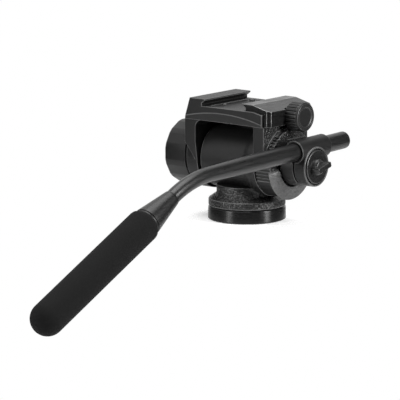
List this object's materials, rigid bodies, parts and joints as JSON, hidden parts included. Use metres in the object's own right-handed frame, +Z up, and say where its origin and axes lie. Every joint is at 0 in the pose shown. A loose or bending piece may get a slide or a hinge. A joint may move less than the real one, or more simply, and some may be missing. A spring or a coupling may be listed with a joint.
{
  "type": "fluid video tripod head",
  "caption": "Fluid camera head: round foot, pan housing with tilt barrel, tilting cradle with dovetail plate clamp, lock knobs and a bent pan bar with foam grip.",
  "frame": {"origin": "centre of the foot's underside, at the mouth of the tripod thread", "axes": "+Z up along the pan axis, +Y forward where the lens points, +X towards the pan-bar clamp"},
  "size_m": [0.1367, 0.3509, 0.1265],
  "materials": {
    "cast_alloy": "textured black powder coat",
    "machined_alloy": "satin black anodised",
    "bar_alloy": "satin black anodised tube",
    "socket_alloy": "gunmetal anodised",
    "steel": "machined",
    "bronze": "sintered",
    "nylon": "matte",
    "moulded_plastic": "fine matte",
    "foam": "closed-cell foam"
  },
  "bodies": {
    "base": {"base_disc": "machined_alloy", "tripod_insert": "steel", "pan_axle": "steel", "base_screws": "steel", "pan_drag_washer": "nylon", "pan_thrust_washer": "bronze", "axle_nut": "steel"},
    "pan_unit": {"pan_housing": "cast_alloy", "pan_bushing": "bronze", "left_bearing": "bronze", "right_bearing": "bronze", "steel_discs": "steel", "fibre_discs": "nylon", "preload_springs": "steel", "pan_brake_shoe": "bronze"},
    "pan_lock": {"pan_lock_screw": "steel", "pan_lock_knob": "moulded_plastic"},
    "tilt_unit": {"cradle": "cast_alloy", "right_arm": "cast_alloy", "arm_screws": "steel", "tilt_shaft": "steel", "arm_rosette": "steel", "guide_pins": "steel", "stop_screw": "steel", "tilt_washer": "nylon"},
    "tilt_lock": {"tilt_knob": "moulded_plastic", "tilt_knob_nut": "bronze", "tilt_knob_cap": "moulded_plastic"},
    "plate_jaw": {"jaw": "machined_alloy"},
    "plate_lock": {"plate_knob": "moulded_plastic", "plate_knob_cap": "moulded_plastic", "plate_screw": "steel"},
    "safety_button": {"safety_pin": "steel"},
    "bar_clamp": {"pan_bar_clamp": "cast_alloy"},
    "bar_lock": {"wing_knob": "moulded_plastic", "clamp_screw": "steel"},
    "bar_turn": {"bar_sleeve": "nylon"},
    "handle": {"pan_bar_tube": "bar_alloy", "bar_end_cap": "moulded_plastic", "bar_socket": "socket_alloy", "grip_ring": "moulded_plastic", "foam_grip": "foam"}
  },
  "joints": [
    {"name": "pan_turn", "type": "hinge", "parent": "base", "child": "pan_unit", "pos_m": [0, 0, 0.0103], "axis": [0, 0, 1], "continuous": true},
    {"name": "pan_lock_turn", "type": "hinge", "parent": "pan_unit", "child": "pan_lock", "pos_m": [0, 0, 0.0133], "axis": [-0.5, 0.866, 0], "range_deg": [0, 270]},
    {"name": "tilt", "type": "hinge", "parent": "pan_unit", "child": "tilt_unit", "pos_m": [0, 0, 0.0465], "axis": [1, 0, 0], "range_deg": [-75, 85]},
    {"name": "tilt_lock_turn", "type": "hinge", "parent": "tilt_unit", "child": "tilt_lock", "pos_m": [0, 0, 0.0465], "axis": [-1, 0, 0], "range_deg": [0, 270]},
    {"name": "jaw_slide", "type": "slide", "parent": "tilt_unit", "child": "plate_jaw", "axis": [1, 0, 0], "range_m": [0, 0.00375]},
    {"name": "plate_lock_turn", "type": "hinge", "parent": "plate_jaw", "child": "plate_lock", "pos_m": [0.0412, 0.003, 0.0825], "axis": [1, 0, 0], "range_deg": [0, 1080]},
    {"name": "safety_press", "type": "slide", "parent": "tilt_unit", "child": "safety_button", "axis": [0, 0, -1], "range_m": [0, 0.0014], "stiffness_N_per_m": 300, "springref_m": -0.0005},
    {"name": "bar_angle", "type": "hinge", "parent": "tilt_unit", "child": "bar_clamp", "pos_m": [0, 0, 0.0465], "axis": [1, 0, 0], "range_deg": [-28, 18]},
    {"name": "bar_lock_turn", "type": "hinge", "parent": "bar_clamp", "child": "bar_lock", "pos_m": [0, 0, 0.0465], "axis": [1, 0, 0], "range_deg": [0, 270]},
    {"name": "bar_twist", "type": "hinge", "parent": "bar_clamp", "child": "bar_turn", "pos_m": [0.057, -0.00032, 0.0588], "axis": [0, 0.9997, 0.0264], "continuous": true},
    {"name": "bar_reach", "type": "slide", "parent": "bar_turn", "child": "handle", "axis": [0, 0.9997, 0.0264], "range_m": [-0.02, 0.03]}
  ],
  "couplings": [
    {"joint": "plate_lock_turn", "follows": "jaw_slide", "rad_per_m": 5026.5}
  ]
}
